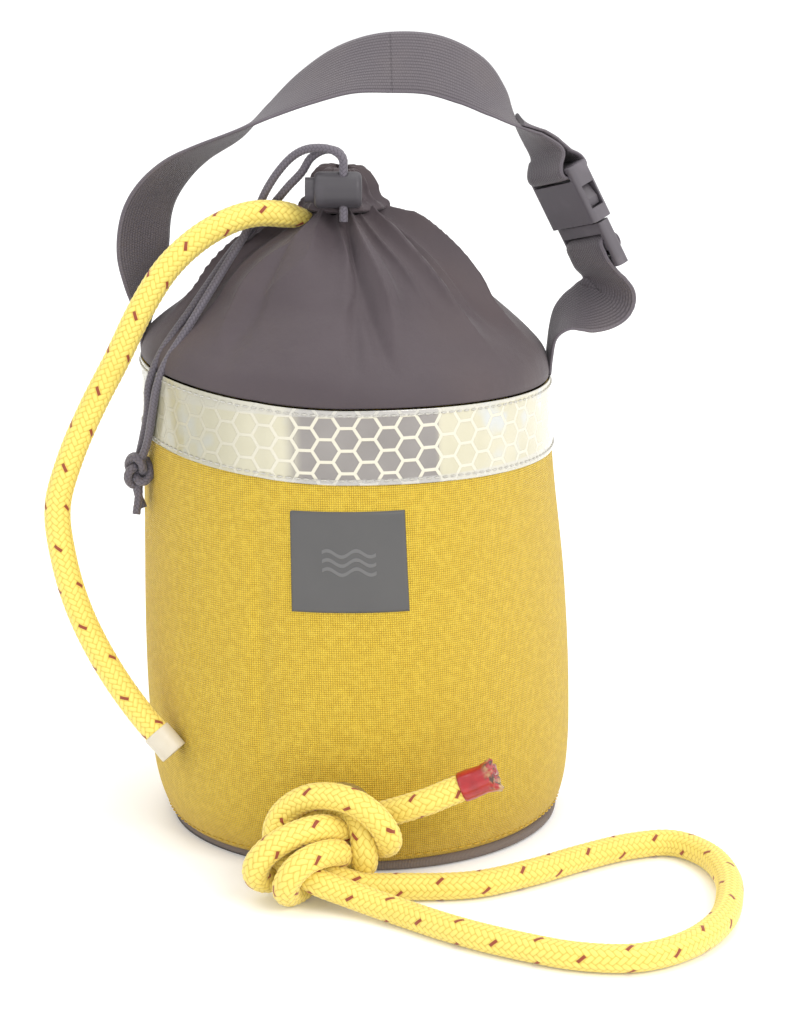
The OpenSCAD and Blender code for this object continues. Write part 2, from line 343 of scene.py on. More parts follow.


# points of the routes, the same as in the part's source
tailRoute = arr([[-9, -5, 222], [-24, -13, 228], [-38, -19, 229], [-53, -24, 223],
    [-66, -28, 212], [-76, -31, 197], [-85, -33, 179], [-94, -35, 162], [-102, -37, 144],
    [-107, -38, 126], [-105, -40, 107], [-99.5, -42, 88], [-90, -45, 69], [-79, -48, 53],
    [-66.5, -52, 39]]) * mm
standingRoute = arr([[-4, -69, 26], [-4, -81, 26]]) * mm
loopRoute = arr([[20, -99, 5], [42, -97, 5], [62, -86, 5], [82, -71, 5], [100, -60, 5],
    [115, -57, 5], [126, -68, 5], [131, -88, 5], [130, -108, 5], [124, -131, 5],
    [111, -150, 5], [94, -160.5, 5], [75, -159.5, 5], [55, -150.5, 5], [36, -138.5, 5],
    [16, -122, 5]]) * mm
knotTailRoute = arr([[20, -93, 32], [35, -92, 38], [47, -92, 43]]) * mm

# inside the knot: the standing part comes in and the line wraps, leaves as the loop's far
# arm, comes back as the near arm and follows its own lead out to the short end
knotIn = arr([[-5, -86, 21], [-9, -91, 12], [-15, -99, 5.2], [-23, -107, 5.6], [-25.5, -112.5, 11],
    [-20, -112, 17.5], [-12, -108, 20.5], [-4, -101, 21], [-6, -92, 18], [-5, -87, 11],
    [2, -92, 8], [4.5, -95.5, 15], [4, -94.5, 24], [-2, -92, 31], [-11, -88.5, 31],
    [-20, -88, 25], [-23, -92, 17], [-15, -97, 12.5], [-3, -99.5, 11], [9, -99.5, 6]]) * mm
knotOut = arr([[2, -112, 6], [-10, -107, 10], [-22, -100, 13], [-31, -94, 19], [-30, -89, 28],
    [-21, -90, 34.5], [-9, -94, 38.5], [1, -97.5, 37.5], [8.5, -101, 31], [10, -101.5, 23],
    [7.5, -98, 15], [0, -91, 12], [-5, -89, 18], [-4, -95, 26], [-11, -102, 29.5],
    [-20, -106, 28.5], [-30, -108, 24], [-38, -108, 15], [-37.5, -104, 7], [-29, -98, 5],
    [-17, -92, 8], [-5, -88, 16], [4, -88, 25], [10, -91, 29]]) * mm


knotEase = {"rounds": 90, "apart": 1.93, "push": 0.45, "home": 0.015, "front": -81 * mm,
            "box": arr([[-45, -125, 0], [24, -83.5, 45]]) * mm}


def easedKnot(path):  # pushes crossing strands apart until they only touch
    p = path.copy()
    radius = ropeLook["radius"]
    step = np.linalg.norm(np.diff(p, axis=0), axis=1).mean()
    apart = radius * knotEase["apart"]
    low, high = knotEase["box"]
    free = np.where(((p > low) & (p < high)).all(1))[0]
    near = np.abs(free[:, None] - free[None, :]) <= int(apart * 1.5 / step)
    home = p[free].copy()
    for _ in range(knotEase["rounds"]):
        q = p[free]
        gap = q[:, None] - q[None, :]
        d = np.linalg.norm(gap, axis=2)
        push = np.where(near, 0, np.clip(apart - d, 0, None))
        move = (gap / np.maximum(d, 1e-6)[..., None] * push[..., None]).sum(1)
        q = q + knotEase["push"] * move / np.maximum((push > 0).sum(1)[:, None], 1)
        q = q + knotEase["home"] * (home - q)
        q[:, 2] = np.maximum(q[:, 2], radius + 0.1 * mm)  # on the floor
        q[:, 1] = np.minimum(q[:, 1], knotEase["front"] - radius * 0.6)  # clear of the bag's wall
        p[free] = q
        smooth = p.copy()
        smooth[1:-1] = 0.5 * p[1:-1] + 0.25 * (p[:-2] + p[2:])
        p[free] = smooth[free]
    return p


handLine = curveThrough(np.vstack([standingRoute, knotIn, loopRoute, knotOut, knotTailRoute]), 2.5 * mm)
handLine = resample(easedKnot(handLine), 2.5 * mm)
tailLine = curveThrough(tailRoute, 2.5 * mm)

cordLook = {"radius": 1.5 * mm, "sides": 20, "strands": 6, "cell": 1.5 * mm, "relief": 0.16 * mm,
            "ringStep": 0.4 * mm}
frontCordRoute = arr([[-4, -22.2, 227], [-4, -22.2, 237], [-4, -22.2, 248.4], [-5.6, -21.8, 251],
    [-9, -20.8, 252.6], [-13.5, -19, 252.8], [-18, -16.5, 251.8], [-22.5, -14, 249],
    [-27.5, -12, 243.5], [-32, -10.5, 236.5], [-35.5, -10.5, 229], [-40, -12, 220.5],
    [-45.5, -17.5, 212], [-51, -24.5, 203.5], [-58.5, -33, 192], [-67.5, -38.5, 178],
    [-70.5, -37.5, 170], [-72.5, -35, 160], [-75, -31, 148], [-78, -28.6, 140]]) * mm
backCordRoute = arr([[-4, -17.8, 229], [-4, -17.8, 238], [-4, -17.8, 248.4], [-6, -17.2, 251.2],
    [-10.4, -15.8, 251.8], [-15.6, -14.2, 248.8], [-19, -13, 243.5], [-24, -10.8, 238],
    [-28.5, -8.5, 232.5], [-33.5, -7, 226.5], [-39, -6.5, 220.5], [-44.5, -8, 214.5],
    [-50, -14, 207.5], [-58.5, -23.5, 196], [-69, -32.5, 181.5], [-73.5, -33.5, 170.5],
    [-74.5, -30.5, 160], [-77, -26.5, 148], [-79, -25, 140]]) * mm


def throughLock(line):  # the cords run straight up through the cord lock
    held = (line[:, 2] < 248.45 * mm) & (line[:, 0] > -5 * mm)
    line[held, :2] = line[0, :2]
    return line


frontCordLine = throughLock(curveThrough(frontCordRoute, 1.2 * mm))
backCordLine = throughLock(curveThrough(backCordRoute, 1.2 * mm))


def ropeFinish(name, base, shade, tracer, strands, cell, rough):
    f = Finish(name, Roughness=rough, Sheen_Weight=0.25, Sheen_Roughness=0.5)
    u, v, _ = f.uv()
    a = u * strands + v / cell
    b = u * strands - v / cell
    turn = (a.floor() + b.floor()) % 4
    first = turn < 1.5
    cross = a.part() * first + b.part() * (1 - first)
    run = ((turn + b.part()) * first + (turn - 2 + a.part()) * (1 - first)) * 0.5
    crown = (1 - cross.spread() ** 2).most(0) ** 0.5
    arch = (run * math.pi).wave().most(0) ** 0.4
    lift = crown * arch
    yarns = (cross * math.pi * 10).wave() * 0.5 + 0.5
    patchy = f.noise(60, 2)
    # painted shade: the grooves between the strands take the darker colour
    tone = f.blend(lift.soft(0.05, 0.75), shade, base)
    tone = f.blend((patchy - 0.5).soft(0.0, 0.35) * 0.22, tone, shade)
    if tracer:  # short dashes of a coloured yarn
        row = ((a.floor() % 4) < 0.5) * (((b.floor() - a.floor()) % 12) < 1.5) * first
        narrow = 1 - a.part().spread().soft(0.58, 0.80)
        mask = row * narrow * run.soft(0.0, 0.05) * (1 - run.soft(0.95, 1.0))
        tone = f.blend(mask, tone, tracer)
    height = lift * 0.8 + yarns * crown * 0.2
    return f.feed(Base_Color=tone, Normal=f.bump(height, 0.2 * mm, 0.55))


# each rope's second colour is painted shade for the grooves of its braid
yellowRope = ropeFinish("yellowRope", (0.85, 0.68, 0.15), (0.60, 0.42, 0.045), (0.27, 0.045, 0.012),
                        ropeLook["strands"], ropeLook["cell"], 0.62)
darkCord = ropeFinish("darkCord", (0.125, 0.110, 0.135), (0.045, 0.040, 0.05), None,
                      cordLook["strands"], cordLook["cell"], 0.6)
print("materials for the line ready")


def tailTaper(s):  # the line narrows where it dives into the gathered cloth
    return 0.30 + 0.70 * smoothStep(-1 * mm, 21 * mm, s)


ropeTail = place(braidedTube("ropeTail", tailLine, ropeLook, tailTaper), "bag", "yellow_rope",
                 yellowRope, "rope_tail")
handRope = place(braidedTube("handRope", handLine, ropeLook), "bag", "yellow_rope", yellowRope,
                 "rope_standing", "rope_knot", "rope_loop", "knot_tail")
frontCord = place(braidedTube("frontCord", frontCordLine, cordLook), "bag", "dark_cord", darkCord,
                  "drawcord_front")
backCord = place(braidedTube("backCord", backCordLine, cordLook), "bag", "dark_cord", darkCord,
                 "drawcord_back")
print("line and drawcord laid")


# the short ends: sleeve, red wrap, knot in the drawcord

def lathed(name, origin, toward, outline, around, wobble):  # turned piece along a direction
    axis = unit(toward - origin)
    side = unit(np.cross(axis, arr((0.2, 1.0, 0.1))))
    up = np.cross(axis, side)
    k = np.arange(around + 1) / around
    angle = 2 * np.pi * k[None, :]
    r, z = wobble(outline[:, :1] + 0 * angle, outline[:, 1:] + 0 * angle, angle)
    turn = angle[..., None]
    ring = origin + z[..., None] * axis + r[..., None] * (np.cos(turn) * side + np.sin(turn) * up)
    uv = 0.03 * k + 0 * r, runOf(outline)[:, None] + 0 * r
    return gridMesh(name, ring[:, :-1], uv, closed=True, caps=True)


def sleeveFinish():
    f = Finish("whiteSleeve", Roughness=0.5, Coat_Weight=0.15)
    cloudy = f.noise(180, 4)
    _, v, _ = f.uv()
    tone = f.blend(cloudy, (0.58, 0.52, 0.41), (0.68, 0.63, 0.52))
    tone = f.blend((1 - v.soft(4.6 * mm, 5.6 * mm)) * 0.85, tone, (0.10, 0.07, 0.045))
    return f.feed(Base_Color=tone, Normal=f.bump(f.noise(700, 2), 0.2 * mm, 0.4))


def wrapFinish():
    f = Finish("redWrap", Roughness=0.28, Coat_Weight=0.6, Coat_Roughness=0.12)
    cloudy = f.noise(260, 4)
    char = f.noise(420, 3).soft(0.50, 0.62)
    tone = f.blend(cloudy, (0.22, 0.004, 0.008), (0.48, 0.014, 0.018))
    _, v, _ = f.uv()
    tip = v.soft(9.3 * mm, 12.3 * mm)
    tone = f.blend(tip * f.noise(300, 2).soft(0.42, 0.62), tone, (0.42, 0.27, 0.12))
    tone = f.blend(tip * char, tone, (0.07, 0.035, 0.02))
    return f.feed(Base_Color=tone, Normal=f.bump(f.noise(330, 3), 0.5 * mm, 0.6))


def sleeveShape(r, z, angle):
    return r * (1 + 0.012 * np.sin(3 * angle + z * 900)), z


def meltShape(r, z, angle):  # a flared and ragged melted tip
    tip = smoothStep(7 * mm, 12 * mm, z)
    ragged = np.sin(3 * angle + 0.6) + 0.6 * np.sin(5 * angle + 2.0) + 0.4 * np.sin(9 * angle)
    dent = 0.02 * np.sin(2 * angle + z * 700)
    return r * (1 + tip * (0.06 * ragged) + dent), z + tip * ragged * 0.7 * mm


endOfTail, beforeTail = tailLine[-1], tailLine[-4]
sleeveOut = [[4.6, 8.6], [5.15, 8.7], [5.3, 8.3], [5.25, 4], [5.3, 0.6], [5.3, -0.9], [5.1, -1.3],
             [4.7, -1.3], [4.5, -1.0], [4.4, -0.15], [0.4, -0.1]]
tailSleeve = lathed("tailSleeve", endOfTail, beforeTail, arr(sleeveOut)[::-1] * mm, 40, sleeveShape)
place(tailSleeve, "bag", "white_sleeve", sleeveFinish(), "tail_sleeve")
endOfLine, beforeLine = handLine[-1], handLine[-4]
wrapRoot = endOfLine - unit(endOfLine - beforeLine) * 10 * mm
meltOut = [[4.7, -0.6], [5.35, -0.4], [5.45, 0.6], [5.3, 3], [5.2, 5.5], [5.2, 8], [5.5, 10], [6.0, 11.8],
           [5.2, 12.6], [3.6, 11.8], [2.0, 12.4], [0.4, 11.9]]
tailWrap = lathed("tailWrap", wrapRoot, endOfLine, arr(meltOut) * mm, 48, meltShape)
place(tailWrap, "bag", "red_wrap", wrapFinish(), "tail_tape")


def cordKnot():  # both ends tied together: a doubled overhand knot with two short ends
    t = np.linspace(0, 2 * np.pi, 241)[:-1]
    centre = arr((-79, -27, 137)) * mm
    knots = []
    for shift in (-1.5, 1.5):
        r = 3.15 + 1.35 * np.cos(3 * t)
        ball = np.stack([r * np.cos(2 * t) + 0.3, r * np.sin(2 * t) * 0.92, 2.5 * np.sin(3 * t) + shift], 1)
        ball = ball[:, [0, 2, 1]] * [1.0, 0.85, 1.35]
        path = np.vstack([ball, ball[:2]]) * mm + centre
        knots.append(braidedTube("cordKnotTurn", path, cordLook))
    for k, foot in enumerate(((-79.5, -30.2, 121.5), (-77.2, -26.5, 123.0))):
        path = curveThrough([centre, centre + arr((0.4 - 0.8 * k, -1.5 + 3 * k, -8)) * mm,
                             arr(foot) * mm], 1 * mm)
        knots.append(braidedTube("cordKnotEnd", path, cordLook))
    return joined("cordKnot", knots)


drawKnot = place(cordKnot(), "bag", "dark_cord", darkCord, "drawcord_knot")


def looseFibres():  # a few pulled yarns where the line leaves the cloth
    ways = [[(-15, -9.6, 226), (-12.5, -11.5, 224.5), (-10.6, -13.6, 221)],
            [(-17, -10.5, 227), (-13.5, -12.5, 226), (-11.5, -14.5, 223)],
            [(-18, -11, 224), (-14.5, -12.8, 223.5), (-11, -14.4, 219.5)]]
    thin = dict(cordLook, radius=0.32 * mm, sides=8, relief=0.02 * mm)
    strands = [braidedTube("fibre", curveThrough(arr(way) * mm, 0.6 * mm), thin) for way in ways]
    return joined("looseFibres", strands)


place(looseFibres(), "bag", "yellow_rope", yellowRope)

print("cords declared", round(lengthOf(tailLine), 3), round(lengthOf(handLine), 3),
      round(lengthOf(frontCordLine), 3), round(lengthOf(backCordLine), 3))


# the bag's cloth body

bagShape = {"around": 420, "wallRows": 190, "crownRows": 170, "girth": 76 * mm, "footDown": 1.8 * mm,
            "footIn": 1.0 * mm, "bindingIn": 1.6 * mm}
wallOutline = arr([[71.5, 3.2], [74.6, 6.5], [77.2, 14], [78.9, 28], [79.4, 46], [79.2, 66], [78.3, 90],
                   [77.0, 112], [75.8, 132], [75.0, 150], [74.8, 170]]) * mm
crownOutline = arr([[74.8, 170], [74.8, 173], [73.0, 178], [68.3, 183.5], [62.8, 189], [57.8, 194],
                    [53.0, 199], [48.2, 205.5], [41.5, 212.5], [34.5, 218], [27.0, 222.8],
                    [19.5, 226.6], [14.2, 229.6]]) * mm
wallLine = outlineCurve(wallOutline, 0.5 * mm)


def wallRadius(z):
    return np.interp(z, wallLine[:, 1], wallLine[:, 0])


def leanAt(z):
    return 2.0 * mm - 0.048 * z + 0.08 * z * z


def onBag(r, angle, z):  # a place round the leaning bag
    return np.stack(np.broadcast_arrays(r * np.cos(angle) + leanAt(z), r * np.sin(angle), z), -1)


def seamLift(angle):  # the crown seam rides higher on the line's side
    return 6.5 * mm * np.clip(-np.cos(angle), 0, 1) ** 1.6 - 2.0 * mm * np.clip(np.cos(angle), 0, 1) ** 2


def softSides(angle, z):  # slow swells of a stuffed cloth wall
    up = z / 0.17
    swell = 0.55 * np.sin(3 * angle + 0.7 + 1.1 * up) + 0.45 * np.sin(5 * angle + 2.1 - 1.6 * up)
    swell += 0.35 * np.sin(2 * angle - 0.4 + 2.6 * up)
    crease = -1.1 * np.exp(-((angle + 1.985) / 0.045) ** 2) * smoothStep(0.02, 0.06, z)
    return (swell * np.sin(np.pi * np.clip(up, 0, 1)) ** 0.6 + crease) * mm


def footSide(angle):  # the foot is pulled in and sags over its binding on the line's side
    return np.clip(np.cos(angle + 2.7), 0, 1) ** 1.5


def around(count):
    return np.arange(count + 1) / count * 2 * np.pi - np.pi


def wallPoint(angle, z, out):  # out is how far it stands off the wall's cloth
    share = smoothStep(0.092, 0.142, z)
    foot = footSide(angle) * (1 - smoothStep(0, 24 * mm, z))
    top = z + share * seamLift(angle) - bagShape["footDown"] * foot
    r = wallRadius(z) + softSides(angle, z) * (1 - 0.5 * share) + out - bagShape["footIn"] * foot
    return onBag(r, angle, top)


def wallPiece(name, low, high, rows, out=0.0):
    angle = around(bagShape["around"])[None, :]
    points = wallPoint(angle, np.linspace(low, high, rows)[:, None], out)
    height = points[..., 2]
    return gridMesh(name, points[:, :-1], (angle * bagShape["girth"] + 0 * height, height), closed=True)


def thickened(piece, thickness):
    skin = piece.modifiers.new("clothThickness", "SOLIDIFY")
    skin.thickness = thickness
    skin.offset = -1
    return piece


def coarseCloth():
    f = Finish("yellowCloth", Roughness=0.72, Sheen_Weight=0.12, Sheen_Roughness=0.45)
    thread = 0.78 * mm
    u, v, _ = f.uv()
    p = u / thread
    q = v / thread
    over = (p.floor() + q.floor()) % 2
    warp = (1 - p.part().spread() ** 2.4) * (0.45 + 0.55 * (q.part() * math.pi).wave())
    weft = (1 - q.part().spread() ** 2.4) * (0.45 + 0.55 * (p.part() * math.pi).wave())
    height = warp * over + weft * (1 - over)
    patchy = f.noise(18, 4)
    slub = f.noise(420, 2)
    # painted shade: the low threads of the weave take the darker colour
    tone = f.blend(height.soft(0.1, 0.9), (0.38, 0.232, 0.009), (0.70, 0.478, 0.029))
    tone = f.blend(slub.soft(0.35, 0.75) * 0.3, tone, (0.88, 0.66, 0.07))
    tone = f.blend((patchy - 0.35).soft(0, 0.5) * 0.18, tone, (0.54, 0.35, 0.012))
    foot = (1 - v.soft(4 * mm, 22 * mm)) * 0.25  # darker towards the bottom
    tone = f.blend(foot, tone, (0.45, 0.25, 0.012))
    folds = f.bump(f.noise(9, 3), 6 * mm, 0.25)
    return f.feed(Base_Color=tone, Normal=f.bump(height, 0.4 * mm, 0.8, folds))


wallCloth = thickened(wallPiece("wallCloth", 3.2 * mm, 168.8 * mm, bagShape["wallRows"]), 0.9 * mm)
yellowCloth = coarseCloth()
place(wallCloth, "bag", "yellow_cloth", yellowCloth, "wall_panel")


filmLook = {"cell": 4.6 * mm, "low": 144.9 * mm, "high": 166.9 * mm, "hem": 0.6 * mm}


def filmFinish():  # honeycomb reflective film
    f = Finish("reflectiveFilm", Coat_Weight=0.6, Coat_Roughness=0.08)
    u, v, _ = f.uv()
    x = u / (filmLook["cell"] * 1.07)
    y = v / filmLook["cell"]
    rowHeight = math.sqrt(3)

    def reach(shift):  # how far from the centre of a flat-topped cell, in one of two interleaved grids
        px = ((x / 3 + shift).part() * 3 - 1.5).size()
        py = ((y / rowHeight + shift).part() * rowHeight - rowHeight / 2).size()
        return py.most(px * (rowHeight / 2) + py * 0.5)

    edge = reach(0.5).least(reach(0.0)) / (rowHeight / 2)
    rib = edge.soft(0.83, 0.89)
    low, high, hem = filmLook["low"], filmLook["high"], filmLook["hem"]
    margin = 1 - v.soft(low, low + hem) * (1 - v.soft(high, high + hem))
    cloudy = f.noise(55, 3)
    column = f.add("TexWhiteNoise", {"noise_dimensions": "1D"}, W=(x / 1.5 + 0.5).floor() * 7.3)
    # painted reflection: the cells are grey across the front of the band and cream towards its sides
    turned = ((u + 0.1115).size() + (column - 0.5) * (5 * mm)).soft(24 * mm, 31 * mm)
    grey = f.blend(cloudy, (0.185, 0.168, 0.158), (0.30, 0.28, 0.265))
    cream = f.blend(cloudy, (0.47, 0.44, 0.30), (0.62, 0.59, 0.46))
    # painted glints: bluish flecks blended into the cream cells
    paintedGlint = f.noise(48, 2).soft(0.60, 0.70)
    cream = f.blend(paintedGlint * 0.5, cream, (0.50, 0.56, 0.66))
    cell = f.blend(turned, grey, cream)
    tone = f.blend(rib * (1 - margin * 0.4), cell, (0.64, 0.61, 0.50))
    tone = f.blend(margin * 0.55, tone, (0.56, 0.55, 0.52))
    # painted shade: the band is darker over its left side, and the darkening stops where the band's u
    # coordinate wraps round
    tone = f.blend((1 - u.soft(-0.180, -0.140)) * 0.55, tone, (0.28, 0.265, 0.17))
    ripple = f.bump(f.noise(70, 3), 2.5 * mm, 0.3)
    shine = (1 - rib) * (1 - turned) * 0.35
    return f.feed(Base_Color=tone, Roughness=0.24 + rib * 0.25, Metallic=shine,
                  Normal=f.bump(rib, 0.16 * mm, 0.8, ripple))


film = filmFinish()
filmBand = thickened(wallPiece("filmBand", 143.2 * mm, 169.4 * mm, 60, 0.55 * mm), 0.35 * mm)
place(filmBand, "bag", "reflective_tape", film, "reflective_band")


# the crown: light cloth gathered to the neck

crownFolds = {"main": 9, "fine": 19, "deep": 5.2 * mm}


def ridge(x):
    return 1 - np.abs(np.sin(x / 2)) ** 0.8 * 2


def crownGrid(rows):
    line = outlineCurve(crownOutline, 0.5 * mm)
    total = lengthOf(line)
    line = resample(line, total / (rows - 1))
    t = np.linspace(0, 1, len(line))[:, None]
    angle = around(bagShape["around"])[None, :]
    wander = angle + 0.16 * np.sin(2 * angle + 1.0) + 0.10 * np.sin(3 * angle + 5 * t)
    deep = ridge(crownFolds["main"] * wander + 0.9) * 0.62
    deep = deep + ridge(crownFolds["fine"] * (wander + 0.05 * np.sin(7 * t)) + 2.0) * 0.30 * t
    grow = smoothStep(0.10, 0.62, t) * (1 - 0.55 * smoothStep(0.80, 1.0, t))
    sag = (0.9 * np.sin(4 * angle + 1.9) + 0.7 * np.sin(7 * angle + 0.3 + 3 * t)) * mm
    front = -2.4 * mm * np.exp(-((angle + 1.30 + 0.18 * t) / 0.055) ** 2)
    front = front - 1.9 * mm * np.exp(-((angle + 1.52 - 0.10 * t) / 0.05) ** 2)
    front = front - 1.6 * mm * np.exp(-((angle + 2.20) / 0.06) ** 2)
    front = front * smoothStep(0.02, 0.25, t)
    offset = deep * crownFolds["deep"] * grow + (sag + front) * np.sin(np.pi * np.clip(t * 1.02, 0, 1)) ** 0.7
    slope = unit(np.gradient(line, axis=0))
    outR, outZ = slope[:, 1][:, None], -slope[:, 0][:, None]
    drop = (1 - t) ** 2
    r = line[:, 0][:, None] + outR * offset
    z = line[:, 1][:, None] + outZ * offset + drop * seamLift(angle)
    r = r + (1 - t) ** 6 * softSides(angle, 0.17 + 0 * z) * 0.5
    return onBag(r, angle, z), (angle * 0.074 + 0 * z, total * t + 0 * z)


def fineCloth():
    f = Finish("darkNylon", Roughness=0.66, Sheen_Weight=0.10, Sheen_Roughness=0.5)
    u, v, _ = f.uv()
    threads = (u.ribs(0.30 * mm) + v.ribs(0.30 * mm)) * 0.5
    patchy = f.noise(30, 4)
    warm = f.noise(14, 2)
    tone = f.blend(patchy, (0.048, 0.035, 0.041), (0.076, 0.056, 0.065))
    tone = f.blend(warm.soft(0.45, 0.75) * 0.4, tone, (0.098, 0.068, 0.060))
    crumple = f.noise(75, 4, 0.6)
    broad = f.bump(f.noise(24, 3), 5 * mm, 0.30)
    mid = f.bump(crumple, 1.4 * mm, 0.35, broad)
    return f.feed(Base_Color=tone, Normal=f.bump(threads, 0.10 * mm, 0.35, mid))


darkNylon = fineCloth()
points, uv = crownGrid(bagShape["crownRows"])
crownCloth = gridMesh("crownCloth", points[:, :-1], uv, closed=True)
place(thickened(crownCloth, 0.6 * mm), "bag", "dark_nylon", darkNylon, "crown")


frillLook = {"pleats": 11, "fine": 17, "deep": 1.5 * mm, "step": 0.25 * mm}


def neckFrill():  # the cloth that stands above the drawn cord, bunched into pleats
    outline = arr([[14.2, 228.6], [15.9, 229.6], [15.2, 231.2], [12.6, 233.0], [11.2, 235.4], [10.6, 238.2],
                   [9.4, 241.2], [7.2, 243.6], [5.0, 243.8], [4.0, 241.0], [3.4, 236.0], [2.4, 230.0]]) * mm
    line = outlineCurve(outline, frillLook["step"])
    root = outline[0, 1]
    t = np.linspace(0, 1, len(line))[:, None]
    angle = around(220)[None, :]
    pleat = ridge(frillLook["pleats"] * angle + 0.8 * np.sin(2 * angle) + 2.2 * t)
    pleat = pleat + 0.4 * ridge(frillLook["fine"] * angle + 1.0)
    depth = frillLook["deep"] * smoothStep(0.0, 0.16, t) * (1 - 0.6 * smoothStep(0.75, 1, t))
    tall = 1 + 0.03 * np.sin(angle - 0.9) + 0.02 * np.sin(3 * angle)
    r = line[:, :1] * (1 + 0.06 * np.sin(2 * angle + 0.6)) + pleat * depth
    z = root + (line[:, 1:] - root) * tall
    points = np.stack([r * np.cos(angle) - 4.2 * mm - 0.05 * (z - root), r * np.sin(angle), z], -1)
    along = np.arange(1, len(line) + 1)[:, None] * frillLook["step"]
    return gridMesh("neckFrill", points[:, :-1], (angle * 0.014 + 0 * r, along + 0 * r), closed=True)


place(neckFrill(), "bag", "dark_nylon", darkNylon, "neck_channel")
print("cloth body made")


# base, binding, patch, seam

def ringPiece(name, profile):
    angle = around(360)[None, :]
    p = arr(profile) * mm
    r = p[:, :1] - bagShape["bindingIn"] * footSide(angle)
    z = p[:, 1:] + 0 * angle
    points = np.stack([r * np.cos(angle) + leanAt(0), r * np.sin(angle), z], -1)
    return gridMesh(name, points[:, :-1], (angle * 0.073 + 0 * r, runOf(p)[:, None] + 0 * r), closed=True)


def bindingFinish():
    f = Finish("greyBinding", Roughness=0.8)
    ribs = f.uv()[0].ribs(0.55 * mm)
    tone = f.blend(ribs, (0.115, 0.090, 0.080), (0.215, 0.175, 0.155))
    tone = f.blend(f.noise(40, 3) * 0.4, tone, (0.17, 0.13, 0.115))
    return f.feed(Base_Color=tone, Normal=f.bump(ribs, 0.25 * mm, 0.7))


bindingProfile = [[69.2, 0.25], [70.4, 0.02], [72.4, 0.25], [73.6, 1.1], [73.9, 2.3], [73.3, 3.6],
                  [72.2, 4.3], [70.8, 4.4]]
baseBinding = ringPiece("baseBinding", bindingProfile)
place(baseBinding, "bag", "grey_binding", bindingFinish(), "base_binding")


patchLook = {"half": 20.75 * mm, "middle": -89.4, "thick": 0.95 * mm, "stands": 0.05 * mm,
             "lines": (3.2, 0.0, -3.2), "wave": 1.1, "reach": (9.3, 8.0)}


def patchFinish():  # moulded patch with three plain wavy lines
    f = Finish("greyPatch", Roughness=0.5)
    u, v, _ = f.uv()
    x = u / mm
    y = v / mm
    lines = 0.0
    for level in patchLook["lines"]:
        off = (y - (x * 0.62).wave() * patchLook["wave"] - level).size()
        lines = (1 - off.soft(0.55, 0.75)).most(lines)
    wide, tall = patchLook["reach"]
    inside = (1 - x.size().soft(wide, wide + 0.3)) * (1 - y.size().soft(tall, tall + 0.3))
    mark = lines * inside
    cloudy = f.noise(45, 3)
    tone = f.blend(cloudy, (0.070, 0.069, 0.070), (0.094, 0.092, 0.092))
    tone = f.blend(mark, tone, (0.130, 0.129, 0.130))
    grain = f.bump(f.noise(900, 2), 0.06 * mm, 0.4)
    return f.feed(Base_Color=tone, Normal=f.bump(mark, 0.25 * mm, 0.6, grain))


def patchPiece():
    low, high = (corner[2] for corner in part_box("label_patch"))
    a = np.linspace(-1, 1, 71)[None, :]
    b = np.linspace(-1, 1, 61)[:, None]
    edge = np.minimum(1 - np.abs(a), 1 - np.abs(b))
    thick = patchLook["thick"] * np.clip(edge * 20, 0, 1) ** 0.5
    up = b * (high - low) / 2 + 0 * a
    z = (low + high) / 2 + up
    angle = math.radians(patchLook["middle"]) + a * patchLook["half"] / 0.0775
    r = wallRadius(z) + softSides(angle, z) + thick + patchLook["stands"]
    return gridMesh("greyPatch", onBag(r, angle, z), (a * patchLook["half"] + 0 * z, up))


place(patchPiece(), "bag", "grey_patch", patchFinish(), "label_patch")


seamLook = {"half": 5.2 * mm, "radius": 78 * mm, "low": 8 * mm, "high": 143 * mm, "bulge": 1.0 * mm,
            "stitchRow": 3.6 * mm, "pitch": 3.2 * mm}


def seamPiece():  # the wall's bound seam at the back
    a = np.linspace(-1, 1, 15)[None, :]
    z = np.linspace(seamLook["low"], seamLook["high"], 120)[:, None] + 0 * a
    angle = math.pi / 2 + a * seamLook["half"] / seamLook["radius"]
    bulge = seamLook["bulge"] * (1 - a ** 6) - 0.35 * mm * np.exp(-((np.abs(a) - 0.72) / 0.08) ** 2)
    points = onBag(wallRadius(z) + softSides(angle, z) + bulge, angle, z)
    return gridMesh("wallSeam", points, (a * seamLook["half"] + 0 * z, z))


place(seamPiece(), "bag", "yellow_cloth", yellowCloth, "back_seam")


def threadFinish(name, tone):
    f = Finish(name, Roughness=0.55)
    twist = f.noise(1500, 1)
    dark = tuple(c * 0.55 for c in tone)
    return f.feed(Base_Color=f.blend(twist, dark, tone), Normal=f.bump(twist, 0.1 * mm, 0.5))


def stitchMesh(name, places, along, out, length=2.3 * mm, width=0.32 * mm):
    rings, faces, verts = 5, [], []
    for p, t, n in zip(places, along, out):
        s = np.cross(t, n)
        base = len(verts)
        for i in range(rings):
            x = i / (rings - 1) * 2 - 1
            w = width * max(1 - x * x, 0.15) ** 0.5
            lift = 0.22 * mm * (1 - x * x)
            for k in range(6):
                c, q = math.cos(k * math.pi / 3), math.sin(k * math.pi / 3)
                verts.append(p + t * x * length / 2 + n * (lift + q * w) + s * c * w)
        for i in range(rings - 1):
            for k in range(6):
                m = (k + 1) % 6
                faces.append((base + i * 6 + k, base + i * 6 + m, base + i * 6 + 6 + m, base + i * 6 + 6 + k))
        faces.append(tuple(base + k for k in range(5, -1, -1)))
        faces.append(tuple(base + (rings - 1) * 6 + k for k in range(6)))
    mesh = bpy.data.meshes.new(name)
    mesh.from_pydata([tuple(v) for v in verts], [], faces)
    mesh.polygons.foreach_set("use_smooth", [True] * len(mesh.polygons))
    return linked(name, mesh)


